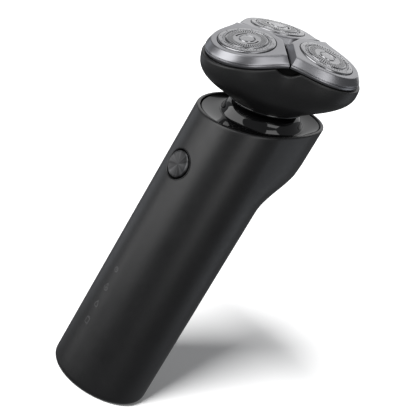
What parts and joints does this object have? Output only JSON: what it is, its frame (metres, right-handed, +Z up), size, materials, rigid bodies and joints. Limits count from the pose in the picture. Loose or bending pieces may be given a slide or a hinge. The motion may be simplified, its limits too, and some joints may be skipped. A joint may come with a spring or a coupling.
{
  "type": "rotary electric shaver",
  "caption": "Cordless rotary shaver: slim round handle swelling to the back, slanted glossy deck and neck, and a floating lobed head with tilting units and perforated caps.",
  "frame": {"origin": "centre of the flat base the handle stands on", "axes": "+Z up the handle, -Y the front with the button, +X to the right seen from the front"},
  "size_m": [0.0594, 0.0612, 0.1612],
  "materials": {
    "handle_black": "matt, finely textured",
    "gloss_black": "polished",
    "bowl_black": "satin matt",
    "inner_plastic": "moulded",
    "gear_plastic": "moulded acetal",
    "silver_face": "fine brushed",
    "cap_steel": "spun and polished",
    "cutter_steel": "ground",
    "button_metal": "spun, anodised dark",
    "plain_steel": "turned",
    "screw_steel": "zinc plated",
    "spring_steel": "drawn wire",
    "silicone": "soft",
    "board_green": "solder mask",
    "chip_black": "moulded epoxy",
    "cell_wrap": "shrink wrap",
    "nickel": "nickel strip",
    "magnet": "plated",
    "copper_core": "laminated",
    "clear_guide": "clear moulded",
    "icon_grey": "smoked"
  },
  "bodies": {
    "handle": {"handle_shell": "handle_black", "base_cap": "handle_black", "base_o_ring": "silicone", "case_screws": "screw_steel", "charge_socket": "plain_steel", "socket_tongue": "chip_black", "socket_gasket": "silicone", "chassis": "inner_plastic", "battery": "cell_wrap", "battery_tabs": "nickel", "circuit_board": "board_green", "board_chips": "chip_black", "power_switch": "plain_steel", "status_leds": "clear_guide", "light_guide": "clear_guide", "status_icons": "icon_grey", "button_seal": "silicone", "deck_plate": "gloss_black", "deck_gasket": "silicone", "latch_plates": "plain_steel", "shaft_seal": "silicone", "motor_plate": "plain_steel", "motor_screws": "screw_steel", "motor_can": "plain_steel", "motor_magnets": "magnet", "motor_bushing": "nickel", "motor_end_cap": "inner_plastic"},
    "rotor": {"motor_shaft": "plain_steel", "rotor_core": "copper_core", "drive_socket": "gear_plastic"},
    "button": {"power_button": "button_metal"},
    "neck": {"neck_collar": "gloss_black", "latch_magnets": "magnet", "centering_spring": "spring_steel"},
    "gimbal": {"gimbal_ring": "gear_plastic", "gimbal_pins": "plain_steel"},
    "head": {"head_shell": "bowl_black", "shell_ring": "gloss_black", "gear_plate": "inner_plastic", "gearbox_cover": "inner_plastic", "gearbox_screws": "screw_steel", "cutter_frame": "bowl_black", "petal_pins": "plain_steel", "spindle_springs": "spring_steel"},
    "centre_gear": {"centre_gear": "gear_plastic"},
    "drive_gear_1": {"drive_gear_1": "gear_plastic"},
    "spindle_1": {"spindle_1": "gear_plastic"},
    "unit_1": {"petal_1": "silver_face"},
    "cap_1": {"cap_1": "cap_steel"},
    "cutter_1": {"cutter_1": "cutter_steel"},
    "drive_gear_2": {"drive_gear_2": "gear_plastic"},
    "spindle_2": {"spindle_2": "gear_plastic"},
    "unit_2": {"petal_2": "silver_face"},
    "cap_2": {"cap_2": "cap_steel"},
    "cutter_2": {"cutter_2": "cutter_steel"},
    "drive_gear_3": {"drive_gear_3": "gear_plastic"},
    "spindle_3": {"spindle_3": "gear_plastic"},
    "unit_3": {"petal_3": "silver_face"},
    "cap_3": {"cap_3": "cap_steel"},
    "cutter_3": {"cutter_3": "cutter_steel"}
  },
  "joints": [
    {"name": "button_press", "type": "slide", "parent": "handle", "child": "button", "axis": [0, 1, 0], "range_m": [0, 0.0006], "stiffness_N_per_m": 900, "springref_m": -0.0002},
    {"name": "motor_spin", "type": "hinge", "parent": "handle", "child": "rotor", "pos_m": [0, 0.00486, 0.12642], "axis": [0, -0.3338, 0.9426], "continuous": true},
    {"name": "head_pull_off", "type": "slide", "parent": "handle", "child": "neck", "axis": [0, -0.3338, 0.9426], "range_m": [0, 0.022]},
    {"name": "head_pitch", "type": "hinge", "parent": "neck", "child": "gimbal", "pos_m": [0, 0.00171, 0.13532], "axis": [1, 0, 0], "range_deg": [-4, 4], "stiffness_Nm_per_rad": 0.25, "deforming": ["centering_spring"]},
    {"name": "head_roll", "type": "hinge", "parent": "gimbal", "child": "head", "pos_m": [0, 0.00171, 0.13532], "axis": [0, 0.9426, 0.3338], "range_deg": [-4, 4], "stiffness_Nm_per_rad": 0.25},
    {"name": "centre_gear_spin", "type": "hinge", "parent": "head", "child": "centre_gear", "pos_m": [0, -0.0048, 0.1537], "axis": [0, -0.3338, 0.9426], "continuous": true},
    {"name": "drive_gear_1_spin", "type": "hinge", "parent": "head", "child": "drive_gear_1", "pos_m": [0, -0.02026, 0.14823], "axis": [0, -0.3338, 0.9426], "continuous": true},
    {"name": "unit_1_tilt", "type": "hinge", "parent": "head", "child": "unit_1", "pos_m": [0, -0.01878, 0.14417], "axis": [1, 0, 0], "range_deg": [-4, 1]},
    {"name": "cap_1_float", "type": "slide", "parent": "unit_1", "child": "cap_1", "axis": [0, -0.5075, 0.8616], "range_m": [-0.0008, 0], "stiffness_N_per_m": 900, "springref_m": 0.0006},
    {"name": "spindle_1_slide", "type": "slide", "parent": "drive_gear_1", "child": "spindle_1", "axis": [0, -0.3338, 0.9426], "range_m": [-0.0008, 0], "deforming": ["spindle_springs"]},
    {"name": "cutter_1_spin", "type": "hinge", "parent": "cap_1", "child": "cutter_1", "pos_m": [0, -0.02101, 0.14796], "axis": [0, -0.5075, 0.8616], "continuous": true},
    {"name": "drive_gear_2_spin", "type": "hinge", "parent": "head", "child": "drive_gear_2", "pos_m": [0.0142, 0.00293, 0.15644], "axis": [0, -0.3338, 0.9426], "continuous": true},
    {"name": "unit_2_tilt", "type": "hinge", "parent": "head", "child": "unit_2", "pos_m": [0.01417, 0.00435, 0.15236], "axis": [-0.5, 0.8164, 0.2891], "range_deg": [-4, 1]},
    {"name": "cap_2_float", "type": "slide", "parent": "unit_2", "child": "cap_2", "axis": [0.1652, -0.2377, 0.9572], "range_m": [-0.0008, 0], "stiffness_N_per_m": 900, "springref_m": 0.0006},
    {"name": "spindle_2_slide", "type": "slide", "parent": "drive_gear_2", "child": "spindle_2", "axis": [0, -0.3338, 0.9426], "range_m": [-0.0008, 0]},
    {"name": "cutter_2_spin", "type": "hinge", "parent": "cap_2", "child": "cutter_2", "pos_m": [0.0149, 0.00331, 0.15657], "axis": [0.1652, -0.2377, 0.9572], "continuous": true},
    {"name": "drive_gear_3_spin", "type": "hinge", "parent": "head", "child": "drive_gear_3", "pos_m": [-0.0142, 0.00293, 0.15644], "axis": [0, -0.3338, 0.9426], "continuous": true},
    {"name": "unit_3_tilt", "type": "hinge", "parent": "head", "child": "unit_3", "pos_m": [-0.0146, 0.00461, 0.15238], "axis": [-0.5, -0.8164, -0.2891], "range_deg": [-4, 1]},
    {"name": "cap_3_float", "type": "slide", "parent": "unit_3", "child": "cap_3", "axis": [-0.0679, -0.2958, 0.9528], "range_m": [-0.0008, 0], "stiffness_N_per_m": 900, "springref_m": 0.0006},
    {"name": "spindle_3_slide", "type": "slide", "parent": "drive_gear_3", "child": "spindle_3", "axis": [0, -0.3338, 0.9426], "range_m": [-0.0008, 0]},
    {"name": "cutter_3_spin", "type": "hinge", "parent": "cap_3", "child": "cutter_3", "pos_m": [-0.0149, 0.00331, 0.15657], "axis": [-0.0679, -0.2958, 0.9528], "continuous": true}
  ],
  "couplings": [
    {"joint": "centre_gear_spin", "follows": "motor_spin", "ratio": 1},
    {"joint": "drive_gear_1_spin", "follows": "motor_spin", "ratio": -0.57692},
    {"joint": "spindle_1_slide", "follows": "cap_1_float", "ratio": 1},
    {"joint": "cutter_1_spin", "follows": "motor_spin", "ratio": -0.57692},
    {"joint": "drive_gear_2_spin", "follows": "motor_spin", "ratio": -0.57692},
    {"joint": "spindle_2_slide", "follows": "cap_2_float", "ratio": 1},
    {"joint": "cutter_2_spin", "follows": "motor_spin", "ratio": -0.57692},
    {"joint": "drive_gear_3_spin", "follows": "motor_spin", "ratio": -0.57692},
    {"joint": "spindle_3_slide", "follows": "cap_3_float", "ratio": 1},
    {"joint": "cutter_3_spin", "follows": "motor_spin", "ratio": -0.57692}
  ]
}
